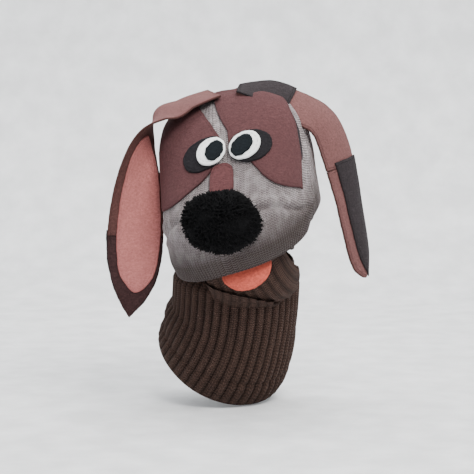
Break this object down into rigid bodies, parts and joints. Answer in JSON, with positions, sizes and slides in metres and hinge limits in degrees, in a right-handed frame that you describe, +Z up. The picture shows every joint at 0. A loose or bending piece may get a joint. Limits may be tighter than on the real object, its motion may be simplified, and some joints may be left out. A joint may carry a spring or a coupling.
{
  "type": "hand puppet",
  "caption": "Dog-head hand puppet: a stretchy rib sleeve for the forearm, a stuffed knit head with felt face, pom-pom nose, opening jaw, tongue and swinging ears.",
  "frame": {"origin": "centre of the arm opening at the lower edge of the hem", "axes": "+Z up with the forearm upright, the face looks along -Y, +X is the puppet's own left"},
  "size_m": [0.1746, 0.1497, 0.218],
  "materials": {
    "rib_knit": "ribbed knit",
    "head_knit": "fine stockinette",
    "stuffing": "loose fibre",
    "mouth_felt": "felt",
    "mouth_card": "card",
    "coral_felt": "felt",
    "black_wool": "fluffy cut yarn",
    "mauve_felt": "felt",
    "charcoal_felt": "felt",
    "white_felt": "felt",
    "black_felt": "felt",
    "light_mauve_felt": "felt",
    "dark_brown_felt": "felt",
    "pink_felt": "felt"
  },
  "bodies": {
    "sleeve": {"rib_sleeve": "rib_knit", "rib_collar": "rib_knit", "cuff_hem": "rib_knit"},
    "neck": {"rib_wrist": "rib_knit"},
    "head": {"head_shell": "head_knit", "head_padding": "stuffing", "mouth_lining_upper": "mouth_felt", "mouth_plate_upper": "mouth_card", "nose_pompom": "black_wool", "eye_patch_right": "mauve_felt", "eye_patch_left": "mauve_felt", "eye_surround_right": "charcoal_felt", "eye_surround_left": "charcoal_felt", "eye_white_right": "white_felt", "eye_white_left": "white_felt", "pupil_right": "black_felt", "pupil_left": "black_felt", "nose_bridge": "mauve_felt"},
    "jaw": {"chin_pocket": "rib_knit", "mouth_plate_lower": "mouth_card", "mouth_lining_lower": "mouth_felt"},
    "tongue": {"tongue": "coral_felt"},
    "ear_right": {"ear_outer_right": "light_mauve_felt", "ear_tip_right": "dark_brown_felt", "ear_tip_facing_right": "charcoal_felt", "ear_lining_right": "pink_felt"},
    "ear_left": {"ear_outer_left": "light_mauve_felt", "ear_tip_left": "dark_brown_felt", "ear_tip_facing_left": "charcoal_felt", "ear_lining_left": "pink_felt", "ear_spot_left": "charcoal_felt"}
  },
  "joints": [
    {"name": "neck_tilt", "type": "hinge", "parent": "sleeve", "child": "neck", "pos_m": [0.011, -0.018, 0.062], "axis": [0, 1, 0], "range_deg": [-12, 12]},
    {"name": "neck_nod", "type": "hinge", "parent": "neck", "child": "head", "pos_m": [0.011, -0.018, 0.062], "axis": [0.9366, -0.2756, 0.2162], "range_deg": [-20, 5]},
    {"name": "jaw_open", "type": "hinge", "parent": "head", "child": "jaw", "pos_m": [0.01863, -0.03225, 0.07991], "axis": [0.9096, -0.2743, 0.3121], "range_deg": [0, 20]},
    {"name": "tongue_swing", "type": "hinge", "parent": "jaw", "child": "tongue", "pos_m": [0.01921, -0.07555, 0.06898], "axis": [-0.9096, 0.2743, -0.3121], "range_deg": [0, 50]},
    {"name": "ear_swing_right", "type": "hinge", "parent": "head", "child": "ear_right", "pos_m": [-0.008, -0.016, 0.18], "axis": [0, 1, 0], "range_deg": [0, 70]},
    {"name": "ear_swing_left", "type": "hinge", "parent": "head", "child": "ear_left", "pos_m": [0.02, -0.014, 0.1845], "axis": [0, -1, 0], "range_deg": [0, 70]}
  ]
}
